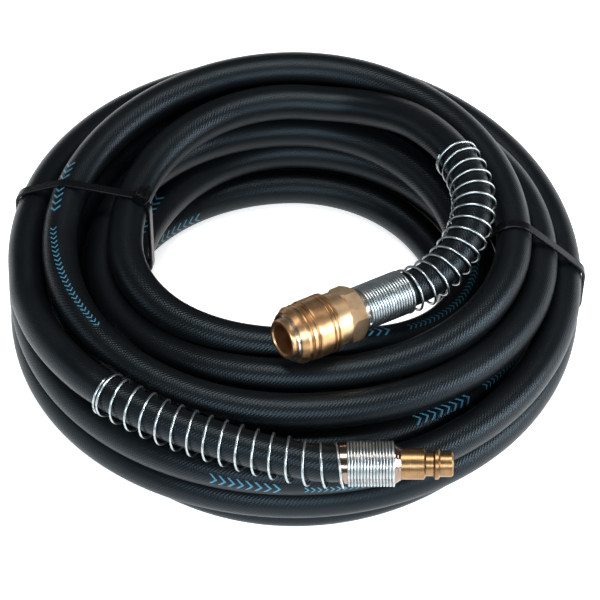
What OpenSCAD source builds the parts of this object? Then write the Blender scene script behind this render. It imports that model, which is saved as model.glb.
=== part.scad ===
// Coiled rubber air hose, put away as a hand-wound pile of loops held by two cable ties.
// One end carries a ball-lock quick coupling, the other its plug nipple. Each end has a crimped
// ferrule and a coil-spring bend guard, and both ends come to rest on top of the pile.
// Millimetres, +Z up. The origin is the middle of the footprint, on the floor.

/* [Hose] */
// Outside diameter of the hose
hose_d = 14; // [13:0.25:14.5]
// Bore of the hose
hose_bore = 8.7; // [8.7:0.1:10]

/* [Coil] */
// Radius of the outer loops, to the middle of the hose
coil_r = 105.5; // [104:0.5:110]
// Room left between two columns of loops
column_room = 1; // [0.9:0.1:1.6]
// Room left between two layers of loops
layer_room = 0.7; // [0.6:0.1:1.4]
// Height of the bottom layer, to the middle of the hose
first_z = 5.5; // [5.2:0.1:6]

/* [Plug nipple] */
// Diameter of the nipple's collar and ridge
plug_d = 12; // [11.5:0.1:12.5]
// Diameter of the nipple's tip
tip_d = 10; // [9.5:0.1:10.2]
// Diameter at the bottom of the locking groove
plug_groove_d = 9.4; // [9:0.1:9.8]
// Bore through the nipple and the coupling's tail
flow_d = 6; // [5:0.2:6.4]
// Length of the tip
tip_l = 5; // [4:0.25:6]
// Width of the ridge behind the tip
ridge_l = 2.6; // [2:0.1:3.2]
// Width of the locking groove
groove_l = 3.5; // [3:0.1:4.5]
// Length of the collar behind the groove
collar_l = 8.7; // [7:0.1:11]

/* [Coupling] */
// Outside diameter of the nose tube
nose_d = 16; // [15.8:0.05:16.4]
// Depth of the wide mouth that takes the nipple's ridge
mouth_l = 12; // [11:0.25:13]
// Outside diameter of the sliding sleeve
sleeve_d = 23.5; // [23:0.1:25]
// Length of the sliding sleeve
sleeve_l = 17.6; // [16.8:0.1:18.2]
// Travel of the sleeve
sleeve_travel = 4; // [3:0.25:4.5]
// Outside diameter of the body behind the sleeve
band_d = 21; // [20:0.1:21.2]
// Size of the hexagon across its flats
hex_af = 19.5; // [18.5:0.25:20]
// Length of the hexagon
hex_l = 6.7; // [5:0.1:9]
// Diameter of the locking balls
ball_d = 2.5; // [2.2:0.05:2.6]
// Number of locking balls
ball_count = 6;
// Outward travel of a ball while the sleeve is pulled back
ball_travel = 0.6; // [0.4:0.05:0.6]
// Travel of the valve when the nipple pushes it open
valve_travel = 4; // [3.2:0.1:4.4]
// Outside diameter of the retaining ring at the nose
ring_d = 18; // [17.8:0.1:19]

/* [Ferrules] */
// Wall of a ferrule
ferrule_wall = 0.7; // [0.5:0.05:0.8]
// Length of a ferrule
ferrule_l = 23; // [21.5:0.5:26]

/* [Bend guards] */
// Diameter of the spring wire
wire_d = 1; // [0.8:0.05:1.05]
// Room between a ferrule and the curls round it
guard_room = 0.7; // [0.65:0.05:1]
// Pitch of the curls that grip the ferrule
closed_pitch = 1.45; // [1.45:0.05:1.55]
// Number of curls that grip the plug's ferrule
plug_closed_curls = 12; // [9:1:12]
// Number of curls that grip the coupling's ferrule
coupler_closed_curls = 14; // [9:1:14]
// Pitch of the open curls on the plug's side
plug_pitch = 6.2; // [5:0.1:6.6]
// Number of open curls on the plug's side
plug_curls = 16; // [12:1:16]
// Pitch of the open curls on the coupling's side
coupler_pitch = 5.5; // [5:0.1:5.8]
// Number of open curls on the coupling's side
coupler_curls = 15; // [12:1:15]

/* [Cable ties] */
// Width of the strap
tie_w = 3.6; // [2.5:0.1:4.8]
// Thickness of the strap
tie_t = 1.2; // [1:0.1:1.4]
// Direction of the left tie, seen from above
left_tie_angle = 165; // [150:15:195]
// Direction of the right tie, seen from above
right_tie_angle = 0; // [-30:15:0]

/* [Hidden] */
$fn = 64;

// Clearances
snug = 0.05;
play = 0.3;

// Middle of the coil, set off so that the footprint's middle is the origin
coil_centre = [-1.1, 4.8, 0];

// ---- Pile of loops -------------------------------------------------------------------------
// Each row is one turn, and each seat in it is [column, layer] at the front, left, back and
// right. Columns count inwards from the outer loops, layers upwards from the floor. The hose
// winds down the outside, in along the floor, out again and up, and then in across the top.
WINDING = [
    [[0, 3], [0, 2.5], [-0.05, 1.9], [-0.05, 1.7]],
    [[-0.05, 2], [0, 1.5], [0, 0.9], [0, 0.7]],
    [[0, 1], [0, 0.45], [0.4, 0], [0.75, 0]],
    [[0.5, 0], [1, 0], [1.4, 0], [1.75, 0]],
    [[1.5, 0], [2, 0], [2.4, 0], [2.75, 0]],
    [[2.75, 1], [2.65, 1], [2, 1], [2, 1]],
    [[2, 2], [1.65, 1], [1, 1], [1, 1]],
    [[0.95, 2], [0.95, 1.9], [1, 2.1], [0.6, 2.45]],
    [[1.3, 3], [0.9, 3], [1, 3.2], [1.3, 3.2]],
    [[2.45, 3], [1.95, 2.25], [2.1, 2], [2.45, 1.9]],
    [[3.5, 3], [2.65, 3.1], [2.1, 3.1], [2.1, 3.1]],
];
SEATS = [for (turn = WINDING) each turn];
first_quarter = 1;
last_quarter = 4 * len(WINDING) - 2;
rings_per_loop = 24;
rings_per_quarter = rings_per_loop / 4;
coil_sides = 6;
lead_sides = 12;

hose_r = hose_d / 2;
column_step = hose_d + column_room;
layer_step = hose_d + layer_room;

// Direction of the loops at a time t, counted in quarter turns from the first front seat
function heading(t) = 270 - 90 * t;

// Column and layer at a time t, eased from seat to seat
function seat(t) =
    let (i = min(floor(t), len(SEATS) - 2), ease = (1 - cos(180 * (t - i))) / 2)
    SEATS[i] * (1 - ease) + SEATS[i + 1] * ease;

// Radius and height of the middle of the hose in a seat, and at a time t
function place(s) = [coil_r - column_step * s[0], first_z + layer_step * s[1]];
function strand(t) = place(seat(t));

function unit(v) = v / norm(v);
function polar(r, angle, z) = [r * cos(angle), r * sin(angle), z];
function strand_point(t) = let (s = strand(t)) polar(s[0], heading(t), s[1]);
function seated(angle, s) = let (p = place(s)) polar(p[0], angle, p[1]);

// A straight end is a chord of its loop, one hose diameter long
function chord_turn(t) = 2 * asin(hose_r / strand(t)[0]);
coil_start = let (s = strand(first_quarter))
    polar(s[0], heading(first_quarter) + chord_turn(first_quarter), s[1]);
coil_end = let (s = strand(last_quarter))
    polar(s[0], heading(last_quarter) - chord_turn(last_quarter), s[1]);
coil_start_dir = unit(strand_point(first_quarter) - coil_start);
coil_end_dir = unit(coil_end - strand_point(last_quarter));

// Hose cross-section in the plane across a direction, never lower than the floor given
function section(middle, dir, r, sides, floor_z) =
    let (side = unit(cross(dir, [0, 0, 1])), up = cross(side, dir))
    [for (k = [0:sides - 1])
        let (a = 360 * k / sides, p = middle + r * (cos(a) * side + sin(a) * up))
        [p[0], p[1], max(p[2], floor_z)]];

// The strap of a tie passes under the pile, so the hose is pressed up there
function turn_gap(a, b) = abs((a - b + 540) % 360 - 180);
function under_tie(angle) =
    min(turn_gap(angle, left_tie_angle), turn_gap(angle, right_tie_angle)) < 7;
function floor_at(angle) = under_tie(angle) ? tie_t + play : 0;

coil_steps = (last_quarter - first_quarter) * rings_per_quarter;
COIL_RINGS = [
    section(coil_start, coil_start_dir, hose_r, coil_sides, 0),
    for (i = [0:coil_steps])
        let (t = first_quarter + i / rings_per_quarter, angle = (heading(t) % 360 + 360) % 360)
        section(strand_point(t), [sin(angle), -cos(angle), 0], hose_r, coil_sides, floor_at(angle)),
    section(coil_end, coil_end_dir, hose_r, coil_sides, 0),
];

// ---- Places of the two end fittings --------------------------------------------------------
// Each fitting is built along +Z with its mating face at zero and the hose behind it
plug_reach = 60;
plug_overhang = 8;
plug_at = [plug_reach, -coil_r - plug_overhang, place([0, 3.16])[1]];
plug_turn = [0, -90, 0];
coupler_at = seated(266, [2.49, 4.42]);
coupler_turn = [0, 98, 33.8];

// Direction and points along a fitting's axis
function axis_of(turn) = polar(sin(turn[1]), turn[2], cos(turn[1]));
function on_axis(at, turn, s) = at + s * axis_of(turn);

// Stations of the plug nipple, from the tip end
ridge_s = tip_l;
groove_s = ridge_s + ridge_l;
collar_s = groove_s + groove_l;
plug_ferrule_s = collar_s + collar_l + snug;

// Stations of the coupling, from the nose face
ring_s = 1.9;
ring_l = 1.1;
sleeve_s = ring_s + ring_l + 2 * snug;
ball_s = 8;
guide_l = 2.2;
seal_s = mouth_l + guide_l;
seal_l = 2.2;
chamber_s = seal_s + seal_l + 2.8;
spring_seat_s = 19.5;
hex_s = sleeve_s + sleeve_l + sleeve_travel + 2.1;
body_end_s = hex_s + hex_l;
tail_s = 30;
coupler_ferrule_s = body_end_s + 0.5;

// Ferrules and hose ends
ferrule_r = hose_r + snug + ferrule_wall;
ferrule_lip = 1;
barb_r = hose_bore / 2 - snug;
stem_r = barb_r - 0.35;
hose_end_inset = 1.2;
closed_inset = 2;
plug_mouth_s = plug_ferrule_s + ferrule_l;
coupler_mouth_s = coupler_ferrule_s + ferrule_l;

// ---- Free leads, from each fitting to the coil ----------------------------------------------
// Each point is a direction seen from above and a seat, [column, layer], in the pile's own steps
PLUG_LEAD = [
    [270, [-0.38, 3.16]], [264.5, [-0.23, 3.16]], [259, [-0.1, 3.16]], [253, [-0.01, 3.16]],
    [247, [0.03, 3.16]], [240.5, [0.04, 3.16]], [234.5, [0.03, 3.16]], [228.5, [-0.01, 3.15]],
    [222, [-0.05, 3.1]], [216, [-0.05, 3.01]], [210, [-0.05, 2.89]], [204, [-0.05, 2.76]],
    [198, [-0.04, 2.62]],
];
COUPLER_LEAD = [
    [334, [2.95, 3.79]], [342.5, [2.76, 3.83]], [351, [2.58, 3.9]], [359.5, [2.41, 3.97]],
    [7.5, [2.3, 3.98]], [16, [2.25, 3.97]], [24, [2.23, 3.93]], [32.5, [2.21, 3.86]],
    [41, [2.17, 3.74]], [49, [2.09, 3.58]], [57, [2.04, 3.4]], [64.5, [2.03, 3.24]],
];
lead_stub = hose_r;
PLUG_ROUTE = [
    on_axis(plug_at, plug_turn, plug_mouth_s),
    on_axis(plug_at, plug_turn, plug_mouth_s + lead_stub),
    for (point = PLUG_LEAD) seated(point[0], point[1]),
    coil_start - lead_stub * coil_start_dir,
    coil_start,
];
COUPLER_ROUTE = [
    on_axis(coupler_at, coupler_turn, coupler_mouth_s),
    on_axis(coupler_at, coupler_turn, coupler_mouth_s + lead_stub),
    for (point = COUPLER_LEAD) seated(point[0], point[1]),
    coil_end + lead_stub * coil_end_dir,
    coil_end,
];

// Direction of a route at its point i
function route_dir(route, i) =
    unit(route[min(i + 1, len(route) - 1)] - route[max(i - 1, 0)]);
function route_rings(route) =
    [for (i = [0:len(route) - 1]) section(route[i], route_dir(route, i), hose_r, lead_sides, 0)];

// ---- Bend guards ---------------------------------------------------------------------------
rings_per_curl = 8;
wire_sides = 6;
guard_r = ferrule_r + guard_room + wire_d / 2;
end_pitch = 2;
end_curls = 1.5;

// Distance run at each point of a route
function runs(route, i = 0, run = 0) =
    i == len(route) ? [] :
    let (here = run + (i == 0 ? 0 : norm(route[i] - route[i - 1])))
    [here, each runs(route, i + 1, here)];

// Any list of vectors read off at a distance along the route
function read(table, run, distance) =
    [for (axis = [0:2]) lookup(distance, [for (i = [0:len(run) - 1]) [run[i], table[i][axis]]])];

// Distance along the route after a number of curls
function curl_run(curls, closed, pitch, open) =
    closed_pitch * min(curls, closed)
    + pitch * max(0, min(curls - closed, open))
    + end_pitch * max(0, curls - closed - open);

// Middle of the wire at each ring of a guard
function guard_centres(route, closed, pitch, open) =
    let (
        run = runs(route),
        dirs = [for (i = [0:len(route) - 1]) route_dir(route, i)],
        steps = (closed + open + end_curls) * rings_per_curl
    )
    [for (i = [0:steps])
        let (
            distance = curl_run(i / rings_per_curl, closed, pitch, open),
            dir = unit(read(dirs, run, distance)),
            side = unit(cross(dir, [0, 0, 1])),
            angle = 360 * i / rings_per_curl
        )
        read(route, run, distance) + guard_r * (cos(angle) * side + sin(angle) * cross(side, dir))];

// Wire section at a ring: outwards from the curl's middle, and across the wire
function wire_rings(centres) =
    [for (i = [0:len(centres) - 1])
        let (
            before = centres[max(i - 1, 0)],
            after = centres[min(i + 1, len(centres) - 1)],
            along = unit(after - before),
            out = unit(i == 0 || i == len(centres) - 1 ?
                cross(along, cross(curl_out(centres, i), along)) : 2 * centres[i] - before - after),
            across = cross(along, out)
        )
        [for (k = [0:wire_sides - 1])
            let (a = 360 * k / wire_sides)
            centres[i] + wire_d / 2 * (cos(a) * out + sin(a) * across)]];
function curl_out(centres, i) =
    let (j = i == 0 ? 1 : i - 1)
    2 * centres[j] - centres[j - 1] - centres[j + 1];

coupler_guard_route = [
    on_axis(coupler_at, coupler_turn, coupler_ferrule_s + closed_inset),
    each COUPLER_ROUTE,
];
plug_guard_route = [
    on_axis(plug_at, plug_turn, plug_ferrule_s + closed_inset + 0.4),
    each PLUG_ROUTE,
];
COUPLER_GUARD =
    guard_centres(coupler_guard_route, coupler_closed_curls, coupler_pitch, coupler_curls);
PLUG_GUARD = guard_centres(plug_guard_route, plug_closed_curls, plug_pitch, plug_curls);

// Least gap between two passes of a tube: rings on the same side of neighbouring turns
function pass_gap(centres, per_turn, tube_d) =
    min([for (i = [0:len(centres) - 1]) for (j = [i + per_turn:per_turn:len(centres) - 1])
        norm(centres[i] - centres[j])]) - tube_d;
coil_centres = [for (i = [0:coil_steps]) strand_point(first_quarter + i / rings_per_quarter)];
echo(str("hose_coil: least gap ", pass_gap(coil_centres, rings_per_loop, hose_d), " mm"));
echo(str("coupler_spring_guard: least gap ", pass_gap(COUPLER_GUARD, rings_per_curl, wire_d), " mm"));
echo(str("plug_spring_guard: least gap ", pass_gap(PLUG_GUARD, rings_per_curl, wire_d), " mm"));

// One unbroken closed tube through a list of rings
module tube(rings) {
    n = len(rings[0]);
    last = len(rings) - 1;
    polyhedron(
        points = [for (ring = rings) each ring],
        faces = [
            for (k = [1:n - 2]) [0, k, k + 1],
            for (i = [0:last - 1]) for (k = [0:n - 1])
                let (a = i * n + k, b = i * n + (k + 1) % n)
                each [[a, a + n, b], [b, a + n, b + n]],
            for (k = [1:n - 2]) [last * n, last * n + k + 1, last * n + k],
        ]
    );
}

module ring(outer_r, inner_r, height) {
    difference() {
        cylinder(r = outer_r, h = height);
        translate([0, 0, -1]) cylinder(r = inner_r, h = height + 2);
    }
}

module at_plug() {
    translate(coil_centre + plug_at) rotate(plug_turn) children();
}

module at_coupler() {
    translate(coil_centre + coupler_at) rotate(coupler_turn) children();
}

// ---- Hose ----------------------------------------------------------------------------------
module hose_coil() {
    color("#17191c") translate(coil_centre) tube(COIL_RINGS);
}

module hose_lead_coupler() {
    color("#17191c") translate(coil_centre) tube(route_rings(COUPLER_ROUTE));
}

module hose_lead_plug() {
    color("#17191c") translate(coil_centre) tube(route_rings(PLUG_ROUTE));
}

// Last stretch of hose, pushed over the barbs and clamped in its ferrule
module hose_end(ferrule_s) {
    translate([0, 0, ferrule_s + hose_end_inset])
        ring(hose_r, hose_bore / 2, ferrule_l - hose_end_inset);
}

module hose_end_coupler() {
    color("#17191c") at_coupler() hose_end(coupler_ferrule_s);
}

module hose_end_plug() {
    color("#17191c") at_plug() hose_end(plug_ferrule_s);
}

// ---- Ferrules and barbed stems ----------------------------------------------------------------
// Crimped shell with a coned front, closed in behind the fitting
module ferrule(ferrule_s) {
    cone = 1.5;
    cone_l = 2.2;
    translate([0, 0, ferrule_s])
        rotate_extrude()
            polygon([
                [barb_r + snug, 0], [ferrule_r - cone, 0], [ferrule_r, cone_l],
                [ferrule_r, ferrule_l], [hose_r + snug, ferrule_l],
                [hose_r + snug, ferrule_lip], [barb_r + snug, ferrule_lip],
            ]);
}

// Stem with saw-tooth barbs that hold the hose
module barbed_stem(from_s, to_s) {
    barbs = 4;
    barb_step = 3.5;
    translate([0, 0, from_s]) cylinder(r = stem_r, h = to_s - from_s);
    for (i = [0:barbs - 1])
        translate([0, 0, to_s - (i + 1) * barb_step])
            rotate_extrude()
                polygon([[0, 0], [barb_r, 0], [stem_r, barb_step - 0.5], [0, barb_step - 0.5]]);
}

module plug_ferrule() {
    color("#c9b9a6") at_plug() ferrule(plug_ferrule_s);
}

module coupler_ferrule() {
    color("#c4c6c6") at_coupler() ferrule(coupler_ferrule_s);
}

// ---- Bend guards ---------------------------------------------------------------------------
module plug_spring_guard() {
    color("#c8cccd") translate(coil_centre) tube(wire_rings(PLUG_GUARD));
}

module coupler_spring_guard() {
    color("#c8cccd") translate(coil_centre) tube(wire_rings(COUPLER_GUARD));
}

// ---- Plug nipple ---------------------------------------------------------------------------
module plug_nipple() {
    edge = 0.7;
    tip_r = tip_d / 2;
    plug_r = plug_d / 2;
    groove_r = plug_groove_d / 2;
    collar_end = collar_s + collar_l;
    color("#b08a52") at_plug()
        difference() {
            union() {
                rotate_extrude()
                    polygon([
                        [0, 0], [tip_r - edge, 0], [tip_r, edge], [tip_r, ridge_s],
                        [plug_r, ridge_s + edge],
                        [plug_r, groove_s - edge], [groove_r, groove_s], [groove_r, collar_s - edge],
                        [plug_r, collar_s], [plug_r, collar_end], [0, collar_end],
                    ]);
                barbed_stem(collar_end - 1, plug_mouth_s - 2);
            }
            translate([0, 0, -1]) cylinder(d = flow_d, h = plug_mouth_s);
        }
}

// ---- Coupling ------------------------------------------------------------------------------
nose_r = nose_d / 2;
mouth_r = plug_d / 2 + 0.1;
tip_bore_r = tip_d / 2 + 0.15;
chamber_r = 6.8;
seal_r = 6.5;
nose_end_s = 26;
ring_seat_r = nose_r - 0.7;
ball_r = ball_d / 2;
ball_hole_r = ball_r + snug;
ball_lip = 0.1;
ball_rest_r = nose_r - snug - ball_r;

// Nose tube: mouth, guide bore, seal groove, valve seat and chamber, with the ball holes
module coupler_nose() {
    edge = 0.5;
    color("#b98f56") at_coupler()
        difference() {
            rotate_extrude()
                polygon([
                    [mouth_r + edge, 0], [nose_r - edge, 0], [nose_r, edge], [nose_r, nose_end_s],
                    [chamber_r, nose_end_s], [chamber_r, chamber_s], [tip_bore_r, chamber_s],
                    [tip_bore_r, seal_s + seal_l], [seal_r, seal_s + seal_l], [seal_r, seal_s],
                    [tip_bore_r, seal_s], [tip_bore_r, mouth_l],
                    [mouth_r, mouth_l], [mouth_r, edge],
                ]);
            translate([0, 0, ring_s - snug]) ring(nose_r + 1, ring_seat_r, ring_l + 2 * snug);
            for (i = [0:ball_count - 1])
                translate([0, 0, ball_s]) rotate([0, 90, 360 * i / ball_count]) {
                    cylinder(r = ball_hole_r - ball_lip, h = nose_r + 1);
                    translate([0, 0, mouth_r + ball_lip]) cylinder(r = ball_hole_r, h = nose_r);
                }
        }
}

// Body behind the sleeve, with the spanner hexagon
module coupler_body() {
    lead_in = 0.6;
    band_r = band_d / 2;
    hex_r = hex_af / sqrt(3);
    chamfer_r = hex_af / 2 + 0.2;
    color("#b98f56") at_coupler()
        difference() {
            union() {
                rotate_extrude()
                    polygon([
                        [0, spring_seat_s], [band_r - lead_in, spring_seat_s],
                        [band_r, spring_seat_s + lead_in], [band_r, hex_s - 1.4],
                        [band_r - 0.8, hex_s - 1.4], [band_r - 0.8, hex_s], [0, hex_s],
                    ]);
                intersection() {
                    translate([0, 0, hex_s]) cylinder(r = hex_r, h = hex_l, $fn = 6);
                    rotate_extrude()
                        polygon([
                            [0, hex_s], [chamfer_r, hex_s], [hex_r, hex_s + 1],
                            [hex_r, body_end_s - 1], [chamfer_r, body_end_s], [0, body_end_s],
                        ]);
                }
            }
            translate([0, 0, spring_seat_s - 1]) cylinder(r = nose_r, h = nose_end_s - spring_seat_s + 1);
            translate([0, 0, spring_seat_s]) cylinder(r = chamber_r, h = body_end_s);
        }
}

// Tail screwed into the body: spring seat, shoulder and barbed stem
module coupler_hose_tail() {
    shoulder_r = 7.4;
    color("#b98f56") at_coupler()
        difference() {
            union() {
                translate([0, 0, tail_s]) cylinder(r = chamber_r, h = body_end_s - tail_s);
                translate([0, 0, body_end_s])
                    cylinder(r = shoulder_r, h = coupler_ferrule_s - body_end_s - snug);
                barbed_stem(body_end_s, coupler_mouth_s - 2);
            }
            cylinder(d = flow_d, h = coupler_mouth_s);
        }
}

// Sliding sleeve: ball recess, ramp and land inside, finger ridges outside
module coupler_sleeve() {
    edge = 0.6;
    sleeve_r = sleeve_d / 2;
    ridge_r = sleeve_r - 0.35;
    front_r = ring_d / 2 + 0.9;
    taper_l = 2;
    front_groove_s = sleeve_s + 4.1;
    rear_groove_s = sleeve_s + sleeve_l - 3.5;
    front_grooves_apart = 2.8;
    rear_grooves_apart = 1.8;
    land_r = nose_r + snug;
    recess_r = ball_rest_r + ball_travel + ball_r + 0.15;
    ramp_l = (recess_r - land_r) / tan(22);
    land_l = 2.5;
    skirt_r = band_d / 2 + play;
    end_s = sleeve_s + sleeve_l;
    color("#c39a5e") at_coupler()
        difference() {
            rotate_extrude()
                polygon([
                    [recess_r, sleeve_s], [front_r, sleeve_s], [ridge_r - edge / 2, sleeve_s + taper_l],
                    [ridge_r, sleeve_s + taper_l + edge / 2], [ridge_r, ball_s + land_l],
                    [sleeve_r, ball_s + land_l + edge], [sleeve_r, end_s - edge / 2],
                    [sleeve_r - edge / 2, end_s], [skirt_r, end_s], [skirt_r, ball_s + land_l],
                    [land_r, ball_s + land_l], [land_r, ball_s], [recess_r, ball_s - ramp_l],
                ]);
            for (groove = [
                [ridge_r, front_groove_s, 0.85], [ridge_r, front_groove_s + front_grooves_apart, 0.65],
                [sleeve_r, rear_groove_s, 0.55], [sleeve_r, rear_groove_s + rear_grooves_apart, 0.55],
            ])
                rotate_extrude()
                    translate([groove[0], groove[1]]) circle(r = groove[2], $fn = 24);
        }
}

// Spring that pushes the sleeve forwards, drawn as the tube that its coils fill
module sleeve_spring() {
    from_s = ball_s + 2.5 + 0.1;
    color("#b9bdbe") at_coupler()
        translate([0, 0, from_s]) ring(band_d / 2 - 0.2, nose_r + 0.4, spring_seat_s - 0.1 - from_s);
}

// Ring that stops the sleeve at the nose
module sleeve_retaining_ring() {
    color("#d5d7d8") at_coupler()
        translate([0, 0, ring_s]) ring(ring_d / 2, ring_seat_r + snug, ring_l);
}

// Ring that seals on the nipple's tip
module socket_seal() {
    color("#1d1d1f") at_coupler()
        translate([0, 0, seal_s + snug]) ring(seal_r - snug, tip_d / 2 - snug, seal_l - 2 * snug);
}

crown_r = 3.8;
valve_seal_s = chamber_s + snug;
valve_seal_l = 1.4;
valve_head_s = valve_seal_s + valve_seal_l;
valve_head_l = 1.5;
valve_head_r = 6.2;

// Washer on the valve's crown, closed against the end of the guide bore
module valve_seal() {
    color("#1d1d1f") at_coupler()
        translate([0, 0, valve_seal_s]) ring(valve_head_r, crown_r + snug, valve_seal_l - snug);
}

// Poppet with a slotted crown that the nipple's tip pushes
module valve_poppet() {
    crown_front_s = seal_s + 0.1;
    slot_w = 2;
    slot_l = 2.6;
    stem_l = tail_s - valve_head_s - valve_head_l - valve_travel - 0.8;
    color("#a9834d") at_coupler()
        difference() {
            union() {
                translate([0, 0, crown_front_s]) cylinder(r = crown_r, h = valve_head_s - crown_front_s);
                translate([0, 0, valve_head_s]) cylinder(r = valve_head_r, h = valve_head_l);
                translate([0, 0, valve_head_s + valve_head_l]) cylinder(r = 1.8, h = stem_l);
            }
            translate([0, 0, crown_front_s - 1])
                cylinder(r = crown_r - 1.2, h = valve_head_s - crown_front_s);
            for (a = [0, 90])
                rotate(a) translate([-crown_r, -slot_w / 2, valve_seal_s - slot_l - 0.2])
                    cube([2 * crown_r, slot_w, slot_l]);
        }
}

// Spring that closes the valve, drawn as the tube that its coils fill
module valve_spring() {
    from_s = valve_head_s + valve_head_l + snug;
    color("#b9bdbe") at_coupler()
        translate([0, 0, from_s]) ring(5.6, 3.6, tail_s - snug - from_s);
}

// Ball in its hole in the nose tube, held inwards by the sleeve's land
module locking_ball(number) {
    color("#d9dbdc") at_coupler()
        rotate(360 * (number - 1) / ball_count)
            translate([ball_rest_r, 0, ball_s]) sphere(r = ball_r, $fn = 32);
}

// ---- Cable ties ----------------------------------------------------------------------------
// Radius and height of every strand that a tie goes round
function strands_at(angle) =
    let (quarter = ((270 - angle) % 360 + 360) % 360 / 90)
    [for (turn = [0:len(WINDING) - 1])
        let (t = 4 * turn + quarter)
        if (t >= first_quarter && t <= last_quarter) strand(t)];

// Outline of the bundle, grown by the strap's distance and cut off at its underside
module bundle(angle, grow, under_z) {
    intersection() {
        hull()
            for (s = strands_at(angle))
                translate(s) circle(r = hose_r + grow, $fn = 32);
        translate([0, under_z]) square([2 * coil_r, 10 * hose_d]);
    }
}

// Strap round the bundle, with its locking head over one strand on a given side
module cable_tie(angle, head_turn, head_side) {
    head_w = 5.4;
    head_l = 6;
    head_h = 4.4;
    tail_l = 3.2;
    reach = hose_r + play + tie_t / 2;
    quarter = ((270 - angle) % 360 + 360) % 360 / 90;
    translate(coil_centre) rotate([90, 0, angle]) {
        linear_extrude(tie_w, center = true)
            difference() {
                bundle(angle, play + tie_t, 0);
                bundle(angle, play, tie_t);
            }
        translate(strand(4 * head_turn + quarter)) rotate(head_side)
            translate([reach, 0, 0]) {
                linear_extrude(head_w, center = true)
                    polygon([
                        [0, -head_l / 2], [head_h - 0.8, -head_l / 2], [head_h, 1 - head_l / 2],
                        [head_h, head_l / 2 - 1], [head_h - 0.8, head_l / 2], [0, head_l / 2],
                    ]);
                translate([head_h - 0.1, -tie_t / 2, -tie_w / 2]) cube([tail_l, tie_t, tie_w]);
            }
    }
}

module cable_tie_left() {
    color("#1b1c1e") cable_tie(left_tie_angle, 10, 120);
}

module cable_tie_right() {
    color("#1b1c1e") cable_tie(right_tie_angle, 9, 180);
}

// ---- Drawing -------------------------------------------------------------------------------
hose_coil();
hose_lead_coupler();
hose_lead_plug();
hose_end_coupler();
hose_end_plug();
plug_nipple();
plug_ferrule();
plug_spring_guard();
coupler_nose();
coupler_body();
coupler_hose_tail();
coupler_ferrule();
coupler_spring_guard();
coupler_sleeve();
sleeve_spring();
sleeve_retaining_ring();
socket_seal();
valve_seal();
valve_poppet();
valve_spring();
locking_ball(1);  // locking_ball_1
locking_ball(2);  // locking_ball_2
locking_ball(3);  // locking_ball_3
locking_ball(4);  // locking_ball_4
locking_ball(5);  // locking_ball_5
locking_ball(6);  // locking_ball_6
cable_tie_left();
cable_tie_right();
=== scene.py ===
"""Dresses a coiled air hose: the hose itself, its bend guards and cable ties, and the finishes of
its brass coupling, plug nipple and ferrules."""
import math

import bmesh
import bpy
from bpy.props import FloatProperty, FloatVectorProperty, IntProperty, PointerProperty
from mathutils import Matrix, Vector


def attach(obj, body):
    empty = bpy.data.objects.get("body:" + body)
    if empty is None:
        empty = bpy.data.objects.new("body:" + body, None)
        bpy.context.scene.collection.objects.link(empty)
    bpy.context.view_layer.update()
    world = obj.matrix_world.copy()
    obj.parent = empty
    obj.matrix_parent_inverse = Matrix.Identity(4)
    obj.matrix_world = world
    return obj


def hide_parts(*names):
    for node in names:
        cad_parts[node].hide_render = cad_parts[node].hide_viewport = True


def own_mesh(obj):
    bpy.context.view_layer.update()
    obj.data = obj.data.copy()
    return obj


bl_info = {
    "name": "Coiled Air Hose",
    "version": (1, 0, 0),
    "blender": (4, 5, 0),
    "location": "View3D > Sidebar > Air Hose",
    "description": "Builds a coiled air hose with its end fittings on a studio table",
    "category": "Object",
}

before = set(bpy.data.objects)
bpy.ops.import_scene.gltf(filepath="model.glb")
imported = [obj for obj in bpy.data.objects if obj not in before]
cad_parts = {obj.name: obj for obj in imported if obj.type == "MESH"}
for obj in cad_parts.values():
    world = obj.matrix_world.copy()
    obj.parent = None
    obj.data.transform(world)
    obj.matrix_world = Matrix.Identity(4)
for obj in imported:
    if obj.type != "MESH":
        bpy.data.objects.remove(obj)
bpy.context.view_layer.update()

MM = 0.001

# ---- The pile of loops -------------------------------------------------------------------------
# Laid as the solids are, but for two seats in the last two turns, which are under 1 mm off theirs
COIL_CENTRE = Vector((-1.1, 4.8, 0.0)) * MM
COIL_R = 105.5
COLUMN_STEP = 15.0
FIRST_Z = 5.5
LAYER_STEP = 14.7
FIRST_QUARTER = 1
LAST_QUARTER = 42

# Each row is one turn: [column, layer] at the front, left, back and right
WINDING = (
    ((0, 3), (0, 2.5), (-0.05, 1.9), (-0.05, 1.7)),
    ((-0.05, 2), (0, 1.5), (0, 0.9), (0, 0.7)),
    ((0, 1), (0, 0.45), (0.4, 0), (0.75, 0)),
    ((0.5, 0), (1, 0), (1.4, 0), (1.75, 0)),
    ((1.5, 0), (2, 0), (2.4, 0), (2.75, 0)),
    ((2.75, 1), (2.65, 1), (2, 1), (2, 1)),
    ((2, 2), (1.65, 1), (1, 1), (1, 1)),
    ((0.95, 2), (0.95, 1.9), (1, 2.1), (0.6, 2.45)),
    ((1.3, 3), (0.9, 3), (1, 3.2), (1.3, 3.2)),
    ((2.45, 3), (2.0, 2.27), (2.1, 2), (2.45, 1.9)),
    ((3.5, 3), (2.61, 3.06), (2.1, 3.1), (2.1, 3.1)),
)
SEATS = [seat for turn in WINDING for seat in turn]


def place(column, layer):
    """Radius and height of the hose's middle in a seat of the pile, in millimetres."""
    return COIL_R - COLUMN_STEP * column, FIRST_Z + LAYER_STEP * layer


def polar(r, degrees, z):
    return Vector((r * math.cos(math.radians(degrees)), r * math.sin(math.radians(degrees)), z))


def seated(degrees, column, layer):
    """The hose's middle in a seat, in a direction seen from above."""
    r, z = place(column, layer)
    return polar(r, degrees, z)


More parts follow.
